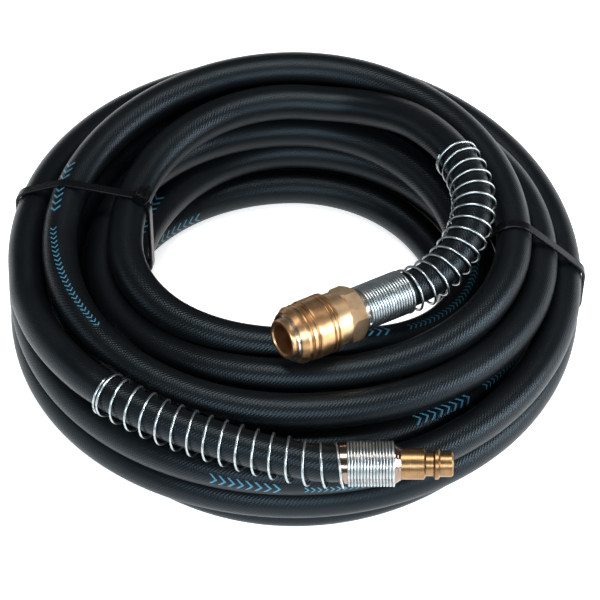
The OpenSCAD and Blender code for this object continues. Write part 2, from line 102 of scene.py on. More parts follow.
# ---- Places and stations of the two end fittings ---------------------------------------------
def axis(tilt, turn):
    """Direction of a fitting's axis, from its mating face to its hose."""
    tilt, turn = math.radians(tilt), math.radians(turn)
    return Vector((math.sin(tilt) * math.cos(turn), math.sin(tilt) * math.sin(turn), math.cos(tilt)))


PLUG_AT = Vector((60, -COIL_R - 8, place(0, 3.16)[1]))
PLUG_AXIS = Vector((-1, 0, 0))
COUPLER_AT = seated(266, 2.49, 4.42)
COUPLER_AXIS = axis(98, 33.8)
PLUG_FERRULE_S = 19.85
COUPLER_FERRULE_S = 34.0
FERRULE_L = 23.0
HOSE_END_INSET = 1.2
CLAMPED_L = 8.0
LEAD_STUB = 7.0

# Each point is a direction seen from above, a column and a layer
PLUG_LEAD = (
    (270, -0.38, 3.16), (264.5, -0.23, 3.16), (259, -0.1, 3.16), (253, -0.01, 3.16),
    (247, 0.03, 3.16), (240.5, 0.04, 3.16), (234.5, 0.03, 3.16), (228.5, -0.01, 3.15),
    (222, -0.05, 3.1), (216, -0.05, 3.01), (210, -0.05, 2.89), (204, -0.05, 2.76),
    (198, -0.04, 2.62),
)
COUPLER_LEAD = (
    (334, 2.95, 3.79), (342.5, 2.76, 3.83), (351, 2.58, 3.9), (359.5, 2.41, 3.97),
    (7.5, 2.3, 3.98), (16, 2.25, 3.97), (24, 2.23, 3.93), (32.5, 2.21, 3.86),
    (41, 2.17, 3.74), (49, 2.09, 3.58), (57, 2.04, 3.4), (64.5, 2.03, 3.24),
)

# Each groove round the sleeve, darkened with painted shade: how far it lies behind the mating face,
# and half its width
SLEEVE_SHADED_GROOVES = ((7.2, 0.95), (10.0, 0.8), (17.2, 0.7), (19.0, 0.7))

# Each tie: the direction that it lies in, the turn that its head sits on, and the side of it
TIES = {"cable_tie_left": (165, 10, 120), "cable_tie_right": (0, 9, 180)}
STRAP_INSIDE_R = 7.3
STRAP_EASE = 0.28
TOOTH_PITCH = 0.85

# Each guard: where its wire starts on the hose's line in metres, the curls on the ferrule, the
# curls over which it opens, the open curls, and their pitch in metres
GUARDS = {
    "coupler": (0.0006, 16.5, 1.8, 14.6, 0.0058),
    "plug": (0.001, 15, 0.4, 15.25, 0.0064),
}
END_CURLS = 1.5
STEPS_PER_CURL = 32

# Each spring in the coupling: its ends from the nose face, its radius, curls, joint and travel
SPRINGS = {
    "sleeve_spring": (10.6, 19.4, 9.35, 4, "sleeve_slide", 4),
    "valve_spring": (22.2, 29.95, 4.6, 5, "valve_slide", 4),
}
SPRING_WIRE_R = 0.35

# Runs of flow arrows in a row: where a run begins and ends, half its height and its pitch, metres
ARROW_RUNS = ((0.002, 0.028, 0.0022, 0.0033), (0.036, 0.092, 0.0013, 0.0023))
ARROW_STROKE = 0.3

# How the camera stands: its focal length and the picture's width are in pixels
CAMERA_ELEVATION = 49.01
CAMERA_DISTANCE = 2.061
CAMERA_AIM_Z = 0.025
FOCAL_PX = 5212
PICTURE_PX = 600
SENSOR = 36


# ---- Sizes and colours that a user would change ------------------------------------------------
class HoseSettings(bpy.types.PropertyGroup):
    outside: FloatProperty(
        name="Outside diameter", description="Outside diameter of the hose",
        default=0.014, min=0.01, max=0.02, unit="LENGTH",
    )
    ring_spacing: FloatProperty(
        name="Ring spacing", description="Distance between two rings of the hose's mesh",
        default=0.0025, min=0.001, max=0.01, unit="LENGTH",
    )
    sides: IntProperty(
        name="Sides", description="Sides of the hose's mesh round about", default=28, min=12, max=64,
    )
    rubber: FloatVectorProperty(
        name="Rubber", description="Colour of the rubber cover", subtype="COLOR",
        default=(0.0040, 0.0048, 0.0058), min=0, max=1,
    )
    shine: FloatVectorProperty(
        name="Shine", description="Tint of the light that the rubber throws back", subtype="COLOR",
        default=(0.72, 0.89, 1.0), min=0, max=1,
    )
    rib_pitch: FloatProperty(
        name="Rib pitch", description="Distance between the fine ribs of the cover",
        default=0.00095, min=0.0004, max=0.004, unit="LENGTH",
    )
    cloth_pitch: FloatProperty(
        name="Cloth pitch", description="Distance between the slanted threads of the curing cloth",
        default=0.0015, min=0.0006, max=0.004, unit="LENGTH",
    )
    print_colour: FloatVectorProperty(
        name="Print", description="Colour of the flow arrows printed along the hose", subtype="COLOR",
        default=(0.07, 0.24, 0.35), min=0, max=1,
    )
    print_spacing: FloatProperty(
        name="Print spacing", description="Distance from one row of flow arrows to the next",
        default=0.4, min=0.12, max=1, unit="LENGTH",
    )


class GuardSettings(bpy.types.PropertyGroup):
    wire: FloatProperty(
        name="Wire", description="Diameter of the spring wire",
        default=0.00105, min=0.0008, max=0.0014, unit="LENGTH",
    )
    pitch: FloatProperty(
        name="Closed pitch", description="Distance between the curls on the ferrule",
        default=0.0012, min=0.0011, max=0.0016, unit="LENGTH",
    )
    closed_r: FloatProperty(
        name="Closed curls", description="Radius of the curls on the ferrule, to the wire's middle",
        default=0.0083, min=0.0082, max=0.009, unit="LENGTH",
    )
    open_r: FloatProperty(
        name="Open curls", description="Radius of the curls round the hose, to the wire's middle",
        default=0.00845, min=0.0083, max=0.009, unit="LENGTH",
    )
    hang: FloatProperty(
        name="Hang", description="How far the open curls hang below the middle of the hose",
        default=0.00085, min=0, max=0.001, unit="LENGTH",
    )
    zinc: FloatVectorProperty(
        name="Zinc", description="Colour of the zinc-coated wire", subtype="COLOR",
        default=(0.48, 0.52, 0.53), min=0, max=1,
    )


class TieSettings(bpy.types.PropertyGroup):
    width: FloatProperty(
        name="Strap width", description="Width of a cable tie's strap",
        default=0.0036, min=0.0025, max=0.0048, unit="LENGTH",
    )
    thickness: FloatProperty(
        name="Strap thickness", description="Thickness of a cable tie's strap",
        default=0.0012, min=0.0008, max=0.0014, unit="LENGTH",
    )
    head_width: FloatProperty(
        name="Head width", description="Width of the locking head",
        default=0.0054, min=0.004, max=0.007, unit="LENGTH",
    )
    head_length: FloatProperty(
        name="Head length", description="Length of the locking head along the strap",
        default=0.006, min=0.004, max=0.008, unit="LENGTH",
    )
    head_height: FloatProperty(
        name="Head height", description="Height of the locking head above the strap",
        default=0.0044, min=0.003, max=0.006, unit="LENGTH",
    )
    tail: FloatProperty(
        name="Tail", description="Length of the trimmed tail that stands out of the head",
        default=0.0032, min=0.001, max=0.02, unit="LENGTH",
    )
    nylon: FloatVectorProperty(
        name="Nylon", description="Colour of the cable ties", subtype="COLOR",
        default=(0.004, 0.004, 0.005), min=0, max=1,
    )


class FittingSettings(bpy.types.PropertyGroup):
    brass: FloatVectorProperty(
        name="Turned brass", description="Colour of the coupling", subtype="COLOR",
        default=(0.74, 0.45, 0.235), min=0, max=1,
    )
    hexagon: FloatVectorProperty(
        name="Hexagon brass", description="Colour of the coupling's body and hexagon",
        subtype="COLOR", default=(0.80, 0.555, 0.345), min=0, max=1,
    )
    nipple: FloatVectorProperty(
        name="Nipple brass", description="Colour of the plug nipple", subtype="COLOR",
        default=(0.33, 0.20, 0.10), min=0, max=1,
    )
    steel: FloatVectorProperty(
        name="Steel", description="Colour of the ferrule, the springs and the ring",
        subtype="COLOR", default=(0.62, 0.63, 0.64), min=0, max=1,
    )
    copper: FloatVectorProperty(
        name="Plated ferrule", description="Colour of the nipple's ferrule", subtype="COLOR",
        default=(0.30, 0.222, 0.178), min=0, max=1,
    )


class StageSettings(bpy.types.PropertyGroup):
    floor: FloatVectorProperty(
        name="Floor", description="Colour of the table", subtype="COLOR",
        default=(0.92, 0.92, 0.92), min=0, max=1,
    )
    glow: FloatProperty(
        name="Table glow", description="Light that the lit-from-below table gives off",
        default=0.75, min=0, max=4,
    )
    overhead: FloatProperty(
        name="Overhead", description="Brightness of the studio above the table",
        default=0.14, min=0, max=4,
    )
    walls: FloatProperty(
        name="Walls", description="Brightness of the studio's walls",
        default=0.16, min=0, max=4,
    )
    key: FloatProperty(
        name="Front light", description="Power of the soft light in front",
        default=34, min=0, max=500, unit="POWER",
    )
    fill: FloatProperty(
        name="Side lights", description="Power of the low soft light at the right",
        default=34, min=0, max=500, unit="POWER",
    )
    top: FloatProperty(
        name="Top light", description="Power of the soft light over the table",
        default=25, min=0, max=500, unit="POWER",
    )


# ---- Lines and tubes -----------------------------------------------------------------------
def seat(t):
    """Column and layer at a time t in quarter turns, eased from seat to seat."""
    i = min(int(t), len(SEATS) - 2)
    ease = (1 - math.cos(math.pi * (t - i))) / 2
    a, b = SEATS[i], SEATS[i + 1]
    return a[0] + (b[0] - a[0]) * ease, a[1] + (b[1] - a[1]) * ease


def strand(t):
    """Radius and height of the hose's middle at a time t, in millimetres."""
    return place(*seat(t))


def strand_point(t):
    r, z = strand(t)
    return polar(r, 270 - 90 * t, z)


def coil_tip(t, way):
    """End of the straight stretch at an end of the coil, and the direction that leaves the coil."""
    r, z = strand(t)
    tip = polar(r, 270 - 90 * t + way * math.degrees(2 * math.asin(LEAD_STUB / r)), z)
    return tip, (tip - strand_point(t)).normalized()


def hose_line():
    """Points along the middle of the hose, from the coupling's ferrule to the nipple's."""
    end, end_out = coil_tip(LAST_QUARTER, -1)
    start, start_out = coil_tip(FIRST_QUARTER, 1)
    steps = 18
    coupler_mouth = COUPLER_FERRULE_S + FERRULE_L
    plug_mouth = PLUG_FERRULE_S + FERRULE_L
    points = [
        COUPLER_AT + COUPLER_AXIS * s
        for s in (
            COUPLER_FERRULE_S + HOSE_END_INSET, coupler_mouth - CLAMPED_L, coupler_mouth,
            coupler_mouth + LEAD_STUB,
        )
    ]
    points += [seated(*p) for p in COUPLER_LEAD]
    points += [end + end_out * LEAD_STUB, end]
    points += [
        strand_point(FIRST_QUARTER + i / steps)
        for i in range((LAST_QUARTER - FIRST_QUARTER) * steps, -1, -1)
    ]
    points += [start, start + start_out * LEAD_STUB]
    points += [seated(*p) for p in reversed(PLUG_LEAD)]
    points += [
        PLUG_AT + PLUG_AXIS * s
        for s in (
            plug_mouth + LEAD_STUB, plug_mouth, plug_mouth - CLAMPED_L,
            PLUG_FERRULE_S + HOSE_END_INSET,
        )
    ]
    return [COIL_CENTRE + p * MM for p in points]


def lengths(line):
    """Distance run at each point of a line."""
    run = [0.0]
    for a, b in zip(line, line[1:]):
        run.append(run[-1] + (b - a).length)
    return run


def curve_through(points, spacing):
    """Even points along one smooth curve through the given points."""
    knots = [points[0] * 2 - points[1], *points, points[-1] * 2 - points[-2]]
    fine = []
    for a, b, c, d in zip(knots, knots[1:], knots[2:], knots[3:]):
        gaps = [max((q - p).length, 1e-6) ** 0.5 for p, q in ((a, b), (b, c), (c, d))]
        m0 = ((b - a) / gaps[0] - (c - a) / (gaps[0] + gaps[1])) * gaps[1] + (c - b)
        m1 = ((d - c) / gaps[2] - (d - b) / (gaps[1] + gaps[2])) * gaps[1] + (c - b)
        for k in range(8):
            t = k / 8
            fine.append(
                b * (2 * t**3 - 3 * t**2 + 1) + m0 * (t**3 - 2 * t**2 + t)
                + c * (3 * t**2 - 2 * t**3) + m1 * (t**3 - t**2)
            )
    fine.append(points[-1].copy())
    return Line(fine).even(spacing)


class Line:
    """Points of a line that can be read off at any distance along it."""

    def __init__(self, points):
        self.points = points
        self.run = lengths(points)
        self.length = self.run[-1]
        self.at_index = 0

    def _span(self, distance):
        distance = min(max(distance, 0.0), self.length)
        i = self.at_index if self.run[self.at_index] <= distance else 0
        while i < len(self.run) - 2 and self.run[i + 1] < distance:
            i += 1
        self.at_index = i
        return i, (distance - self.run[i]) / max(self.run[i + 1] - self.run[i], 1e-9)

    def point(self, distance):
        i, part = self._span(distance)
        return self.points[i].lerp(self.points[i + 1], part)

    def direction(self, distance, reach=0.002):
        return (self.point(distance + reach) - self.point(distance - reach)).normalized()

    def even(self, spacing):
        count = max(2, round(self.length / spacing))
        return Line([self.point(self.length * i / count) for i in range(count + 1)])

    def smoothed(self, passes):
        """The line with each inner point drawn towards its neighbours, its two ends kept straight."""
        points = [p.copy() for p in self.points]
        keep = 6
        for _ in range(passes):
            moved = [(a + b * 2 + c) / 4 for a, b, c in zip(points, points[1:], points[2:])]
            points[keep:-keep] = moved[keep - 1:len(moved) - keep + 1]
        return Line(points)


def side_and_up(direction):
    side = direction.cross(Vector((0, 0, 1))).normalized()
    return side, side.cross(direction)


def tube_mesh(name, rings, along, closed_ends=True):
    """A tube through rings of points, with a UV map of turns round about and metres along."""
    sides = len(rings[0])
    verts = [p for ring in rings for p in ring]
    faces, uvs = [], []
    for i in range(len(rings) - 1):
        for k in range(sides):
            n = (k + 1) % sides
            faces.append((i * sides + k, i * sides + n, (i + 1) * sides + n, (i + 1) * sides + k))
            u, v = k / sides, (k + 1) / sides
            uvs += [(u, along[i]), (v, along[i]), (v, along[i + 1]), (u, along[i + 1])]
    if closed_ends:
        last = (len(rings) - 1) * sides
        faces.append(tuple(reversed(range(sides))))
        faces.append(tuple(range(last, last + sides)))
        uvs += [(0, along[0])] * sides + [(0, along[-1])] * sides
    mesh = bpy.data.meshes.new(name)
    mesh.from_pydata(verts, [], faces)
    layer = mesh.uv_layers.new(name="along_and_round")
    for loop, uv in zip(layer.data, uvs):
        loop.uv = uv
    mesh.shade_smooth()
    mesh.update()
    return mesh


def add_piece(name, mesh, material):
    """A new piece, on the body named hose."""
    piece = bpy.data.objects.new(name, mesh)
    bpy.context.scene.collection.objects.link(piece)
    mesh.materials.append(material)
    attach(piece, "hose")
    return piece


# ---- Materials -----------------------------------------------------------------------------
class Finish:
    """A material whose node tree is put together with short calls."""

    def __init__(self, name):
        self.material = bpy.data.materials.new(name)
        self.material.use_nodes = True
        self.tree = self.material.node_tree
        self.shader = next(n for n in self.tree.nodes if n.type == "BSDF_PRINCIPLED")

    def set(self, **values):
        for name, value in values.items():
            self.shader.inputs[name.replace("_", " ")].default_value = value
        return self

    def node(self, kind, inputs=(), **settings):
        node = self.tree.nodes.new(kind)
        for key, value in settings.items():
            setattr(node, key, value)
        for key, value in dict(inputs).items():
            if isinstance(value, bpy.types.NodeSocket):
                self.tree.links.new(value, node.inputs[key])
            else:
                node.inputs[key].default_value = value
        return node

    def link(self, output, name):
        self.tree.links.new(output, self.shader.inputs[name])

    def math(self, operation, a, b=0.0, c=0.0):
        return self.node("ShaderNodeMath", {0: a, 1: b, 2: c}, operation=operation).outputs[0]

    def mix(self, factor, a, b):
        """Colour a where the factor is 0, colour b where it is 1."""
        node = self.node("ShaderNodeMix", data_type="RGBA")
        for index, value in ((0, factor), (6, a), (7, b)):
            if isinstance(value, bpy.types.NodeSocket):
                self.tree.links.new(value, node.inputs[index])
            else:
                node.inputs[index].default_value = (*value[:3], 1)
        return node.outputs[2]

    def ramp(self, value, stops):
        """Colours or greys read off along a value."""
        node = self.node("ShaderNodeValToRGB", {"Fac": value})
        band = node.color_ramp
        while len(band.elements) < len(stops):
            band.elements.new(0.5)
        for element, (position, colour) in zip(band.elements, stops):
            element.position = position
            grey = isinstance(colour, (int, float))
            element.color = (colour, colour, colour, 1) if grey else (*colour, 1)
        return node.outputs["Color"]

    def place(self):
        return self.node("ShaderNodeTexCoord").outputs["Object"]

    def noise(self, vector, scale, detail=3.0, roughness=0.5):
        return self.node(
            "ShaderNodeTexNoise",
            {"Vector": vector, "Scale": scale, "Detail": detail, "Roughness": roughness},
        ).outputs["Fac"]

    def bump(self, height, distance, strength=1.0, normal=None):
        inputs = {"Height": height, "Distance": distance, "Strength": strength}
        if normal is not None:
            inputs["Normal"] = normal
        return self.node("ShaderNodeBump", inputs).outputs["Normal"]

    def station(self, face, axis):
        """How far a point lies behind a fitting's mating face along its axis, in millimetres."""
        along = self.node(
            "ShaderNodeVectorMath", {0: self.place(), 1: tuple(axis)}, operation="DOT_PRODUCT"
        ).outputs["Value"]
        start = (COIL_CENTRE + face * MM).dot(axis)
        return self.math("MULTIPLY", self.math("SUBTRACT", along, start), 1 / MM)


def mixed(colour, factor):
    """A lighter or darker shade of a colour."""
    return tuple(min(1.0, c * factor) for c in colour[:3])


def flow_arrows(f, along, around, settings):
    """1 where a row of flow arrows is printed: a few large ones, then many small ones."""
    roll = f.math("MULTIPLY", f.math("SINE", f.math("MULTIPLY_ADD", along, 4.1, 1.2)), 0.3)
    turned = f.math("SUBTRACT", around, f.math("ADD", roll, -0.3))
    off = f.math("SUBTRACT", f.math("FRACT", turned), 0.5)
    across = f.math("MULTIPLY", f.math("ABSOLUTE", off), math.pi * settings.outside)
    place_in_row = f.math("MODULO", along, settings.print_spacing)
    printed = 0.0
    for begin, end, half_height, pitch in ARROW_RUNS:
        slanted = f.math("ADD", place_in_row, across)
        part = f.math("FRACT", f.math("DIVIDE", slanted, pitch))
        stroke = f.math("LESS_THAN", part, ARROW_STROKE)
        begun = f.math("GREATER_THAN", slanted, begin)
        inside = f.math("MULTIPLY", begun, f.math("LESS_THAN", slanted, end))
        low = f.math("LESS_THAN", across, half_height)
        mark = f.math("MULTIPLY", f.math("MULTIPLY", stroke, inside), low)
        printed = f.math("MAXIMUM", mark, printed)
    return printed


def rubber_cover(settings):
    """Black rubber with the fine slanted ribs of its curing cloth, and printed flow arrows."""
    f = Finish("ribbed rubber cover").set(IOR=1.5, Specular_IOR_Level=0.31)
    f.shader.inputs["Specular Tint"].default_value = (*settings.shine, 1)
    uv_map = f.node("ShaderNodeUVMap", uv_map="along_and_round").outputs[0]
    uv = f.node("ShaderNodeSeparateXYZ", {0: uv_map})
    around, along = uv.outputs[0], uv.outputs[1]
    weave = 0.0
    for slant, pitch, height in ((9, settings.rib_pitch, 0.35), (-30, settings.cloth_pitch, 0.65)):
        phase = f.math("ADD", f.math("MULTIPLY", along, math.tau / pitch),
                       f.math("MULTIPLY", around, math.tau * slant))
        weave = f.math("MULTIPLY_ADD", f.math("SINE", phase), height, weave)
    patches = f.noise(f.place(), 45.0, 4.0)
    dust = f.noise(f.place(), 900.0, 3.0)
    scuffs = f.noise(f.place(), 160.0, 6.0, 0.7)
    cover = f.ramp(
        patches,
        ((0.3, mixed(settings.rubber, 0.8)), (0.7, mixed(settings.rubber, 1.25))),
    )
    scuffed = f.math("MULTIPLY", f.math("GREATER_THAN", scuffs, 0.66), 0.35)
    worn = f.mix(scuffed, cover, mixed(settings.rubber, 2.2))
    ink = f.math("MULTIPLY_ADD", dust, 0.5, 0.6)
    printed = f.math("MULTIPLY", flow_arrows(f, along, around, settings), ink)
    f.link(f.mix(printed, worn, settings.print_colour), "Base Color")
    rough = f.math("ADD", f.math("MULTIPLY", patches, 0.12), f.math("MULTIPLY", dust, 0.1))
    f.link(f.math("ADD", rough, 0.25), "Roughness")
    fine = f.bump(dust, 0.0001, 0.3)
    f.link(f.bump(weave, 0.00016, 0.28, fine), "Normal")
    return f.material


def zinc_wire(settings):
    """Drawn wire with a bright zinc coat, clouded in places."""
    f = Finish("zinc wire").set(Metallic=1.0)
    clouds = f.noise(f.place(), 260.0, 3.0)
    f.link(
        f.ramp(clouds, ((0.35, mixed(settings.zinc, 0.84)), (0.7, mixed(settings.zinc, 1.06)))),
        "Base Color",
    )
    f.link(f.math("MULTIPLY_ADD", clouds, 0.2, 0.24), "Roughness")
    f.link(f.bump(clouds, 0.00004, 0.2), "Normal")
    return f.material


def turned_metal(name, colour, fitting, roughness, tarnish=0.85, marks=0.35, shaded_grooves=()):
    """Metal turned on a lathe: rings round its axis, a little tarnish, painted shade darkening each
    listed groove, and knocks.
    """
    f = Finish(name).set(Metallic=1.0)
    station = f.station(*fitting)
    rings = f.node(
        "ShaderNodeTexNoise",
        {"W": f.math("MULTIPLY", station, 2.6), "Scale": 1.0, "Detail": 5.0, "Roughness": 0.75},
        noise_dimensions="1D",
    ).outputs["Fac"]
    stains = f.noise(f.place(), 240.0, 5.0, 0.6)
    worn = f.math("MULTIPLY_ADD", rings, 0.4, f.math("MULTIPLY", stains, 0.6))
    shade = f.ramp(worn, ((0.34, mixed(colour, tarnish)), (0.6, colour[:3])))
    # Painted shade: each listed groove is darkened in the colour, where shade falls in it
    for middle, half in shaded_grooves:
        off = f.math("ABSOLUTE", f.math("SUBTRACT", station, middle))
        groove_shade = f.math("MAXIMUM", f.math("SUBTRACT", 1.0, f.math("DIVIDE", off, half)), 0.0)
        shade = f.mix(f.math("MULTIPLY", groove_shade, 0.85), shade, mixed(colour, 0.3))
    f.link(shade, "Base Color")
    rough = f.math("ADD", f.math("MULTIPLY", stains, 0.18), f.math("MULTIPLY", rings, 0.12))
    f.link(f.math("ADD", rough, roughness - 0.12), "Roughness")
    knocks = f.bump(f.noise(f.place(), 1100.0, 2.0), 0.00005, 0.25)
    f.link(f.bump(rings, 0.00005, marks, knocks), "Normal")
    return f.material


def smooth_nylon(name, colour, roughness, gloss):
    """Moulded nylon or seal rubber with a fine grain."""
    f = Finish(name).set(IOR=1.5, Specular_IOR_Level=gloss)
    grain = f.noise(f.place(), 1500.0, 3.0)
    f.link(f.ramp(grain, ((0.3, mixed(colour, 0.85)), (0.7, mixed(colour, 1.2)))), "Base Color")
    f.link(f.math("ADD", f.math("MULTIPLY", grain, 0.14), roughness - 0.07), "Roughness")
    f.link(f.bump(grain, 0.00004, 0.3), "Normal")
    return f.material


def finish_node(name, material):
    """Gives a CAD node its finish."""
    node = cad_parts[name]
    node.data.materials.clear()
    node.data.materials.append(material)


# ---- The hose ------------------------------------------------------------------------------
def route():
    """The hose's middle as even points on one smooth line."""
    spacing = bpy.context.scene.air_hose.ring_spacing
    return curve_through(hose_line(), spacing).smoothed(3)


class AIRHOSE_OT_hose(bpy.types.Operator):
    """Builds the hose as one unbroken tube, from one ferrule through the pile to the other"""

    bl_idname = "air_hose.hose"
    bl_label = "Hose"

    def execute(self, context):
        settings = context.scene.air_hose
        line = route()
        radius = settings.outside / 2
        rings = []
        for i, point in enumerate(line.points):
            before, after = line.points[max(i - 1, 0)], line.points[min(i + 1, len(line.points) - 1)]
            side, up = side_and_up((after - before).normalized())
            ring = []
            for k in range(settings.sides):
                a = math.tau * k / settings.sides
                p = point + side * (radius * math.cos(a)) + up * (radius * math.sin(a))
                ring.append(Vector((p.x, p.y, max(p.z, 0.0))))
            rings.append(ring)
        mesh = tube_mesh("hose", rings, line.run)
        hose = add_piece("hose", mesh, rubber_cover(settings))
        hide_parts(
            "hose_coil", "hose_lead_coupler", "hose_lead_plug", "hose_end_coupler", "hose_end_plug"
        )
        return {"FINISHED"}


# ---- Wires -----------------------------------------------------------------------------------
def wire_mesh(name, centres, half):
    """A round wire through a list of points, its ends closed."""
    sides = 10
    turns = [math.tau * k / sides for k in range(sides)]
    rings = []
    for i, p in enumerate(centres):
        before, after = centres[max(i - 1, 0)], centres[min(i + 1, len(centres) - 1)]
        side, up = side_and_up((after - before).normalized())
        rings.append([p + (side * math.cos(a) + up * math.sin(a)) * half for a in turns])
    return tube_mesh(name, rings, lengths(centres))


def guard_centres(line, start, closed_curls, opening_curls, open_curls, open_pitch, settings):
    """Middle of a guard's wire: tight on the ferrule, open along the hose, and drawn together
    again at its end."""
    centres = []
    distance = start
    for i in range(int((closed_curls + open_curls + END_CURLS) * STEPS_PER_CURL) + 1):
        c = i / STEPS_PER_CURL - closed_curls
        loose = min(1.0, max(0.0, c / opening_curls))
        opened = min(loose, max(0.0, (open_curls - c) * 2 + 1))
        side, up = side_and_up(line.direction(distance, 0.004))
        r = settings.closed_r + (settings.open_r - settings.closed_r) * loose
        a = math.tau * i / STEPS_PER_CURL
        middle = line.point(distance) - up * settings.hang * loose
        centres.append(middle + side * (r * math.cos(a)) - up * (r * math.sin(a)))
        distance += (settings.pitch + (open_pitch - settings.pitch) * opened) / STEPS_PER_CURL
    return centres


class AIRHOSE_OT_bend_guards(bpy.types.Operator):
    """Winds the wire of both bend guards over the ferrules and along the hose"""

    bl_idname = "air_hose.bend_guards"
    bl_label = "Bend guards"

    def execute(self, context):
        settings = context.scene.air_hose_guards
        wire = zinc_wire(settings)
        forward = route()
        lines = {"coupler": forward, "plug": Line(list(reversed(forward.points)))}
        for end, sizes in GUARDS.items():
            centres = guard_centres(lines[end], *sizes, settings)
            name = f"{end}_guard_wire"
            piece = add_piece(name, wire_mesh(name, centres, settings.wire / 2), wire)
            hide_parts(f"{end}_spring_guard")
        return {"FINISHED"}


class AIRHOSE_OT_springs(bpy.types.Operator):
    """Winds the coupling's two inner springs"""

    bl_idname = "air_hose.springs"
    bl_label = "Inner springs"

    def execute(self, context):
        wire = zinc_wire(context.scene.air_hose_guards)
        origin = COIL_CENTRE + COUPLER_AT * MM
        side, up = side_and_up(COUPLER_AXIS)
        half = SPRING_WIRE_R
        for name, (begin, end, r, curls, joint, travel) in SPRINGS.items():
            centres = []
            steps = curls * STEPS_PER_CURL
            for i in range(steps + 1):
                a = math.tau * i / STEPS_PER_CURL
                s = begin + half + (end - begin - 2 * half) * i / steps
                out = side * math.cos(a) + up * math.sin(a)
                centres.append(origin + (COUPLER_AXIS * s + out * r) * MM)
            piece = add_piece(f"{name}_wire", wire_mesh(name, centres, half * MM), wire)
            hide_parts(name)
            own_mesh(piece)
        return {"FINISHED"}


# ---- Cable ties ----------------------------------------------------------------------------
def strap_outline(angle, reach):
    """Points of the taut loop round every strand in a direction, as (radius, 0, height)."""
    quarter = ((270 - angle) % 360) / 90
    times = [4 * turn + quarter for turn in range(len(WINDING))]
    strands = [strand(t) for t in times if FIRST_QUARTER <= t <= LAST_QUARTER]
    cloud = []
    for r, z in strands:
        for k in range(48):
            a = math.tau * k / 48
            cloud.append((r + reach * math.cos(a), max(z + reach * math.sin(a), 0.7)))
    cloud.sort()
    hull = []
    for points in (cloud, list(reversed(cloud))):
        chain = []
        for p in points:
            while len(chain) > 1 and (
                (chain[-1][0] - chain[-2][0]) * (p[1] - chain[-2][1])
                - (chain[-1][1] - chain[-2][1]) * (p[0] - chain[-2][0])
            ) <= 0:
                chain.pop()
            chain.append(p)
        hull += chain[:-1]
    return [Vector((r, 0, z)) for r, z in hull]


def tie_frame(angle):
    """Turns a tie's own millimetres, out of the pile's middle, across and up, into metres."""
    turn = Matrix.Rotation(math.radians(angle), 4, "Z")
    return Matrix.Translation(COIL_CENTRE) @ turn @ Matrix.Scale(MM, 4)


def add_strap(bm, outline, width, thickness, frame_matrix):
    """A closed band with eased edges round an outline."""
    ease = STRAP_EASE
    w, t = width / 2, thickness / 2
    section = [
        (w, -t + ease), (w, t - ease), (w - ease, t), (-w + ease, t),
        (-w, t - ease), (-w, -t + ease), (-w + ease, -t), (w - ease, -t),
    ]
    rings = []
    for before, here, after in zip([outline[-1], *outline], outline, [*outline[1:], outline[0]]):
        along = (after - before).normalized()
        out = Vector((along.z, 0, -along.x))
        rings.append([
            bm.verts.new(frame_matrix @ (here + out * lift + Vector((0, across, 0))))
            for across, lift in section
        ])
    for a, b in zip(rings, [*rings[1:], rings[0]]):
        for k in range(len(section)):
            n = (k + 1) % len(section)
            bm.faces.new((a[k], a[n], b[n], b[k]))


def add_block(bm, corners, heights, frame_matrix):
    """Layers of one outline on top of each other, closed at both ends."""
    layers = [
        [bm.verts.new(frame_matrix @ Vector((x * grow, y * grow, z))) for x, y in corners]
        for z, grow in heights
    ]
    for a, b in zip(layers, layers[1:]):
        for k in range(len(corners)):
            n = (k + 1) % len(corners)
            bm.faces.new((a[k], a[n], b[n], b[k]))
    bm.faces.new(list(reversed(layers[0])))
    bm.faces.new(layers[-1])


def eased_rectangle(length, width, ease):
    """Corners of a rectangle with its corners cut back in two steps."""
    corners = []
    for sx, sy in ((1, 1), (-1, 1), (-1, -1), (1, -1)):
        x, y = sx * length / 2, sy * width / 2
        cuts = [(x, y - sy * ease), (x - sx * ease * 0.3, y - sy * ease * 0.3), (x - sx * ease, y)]
        corners += cuts if sx * sy > 0 else list(reversed(cuts))
    return corners


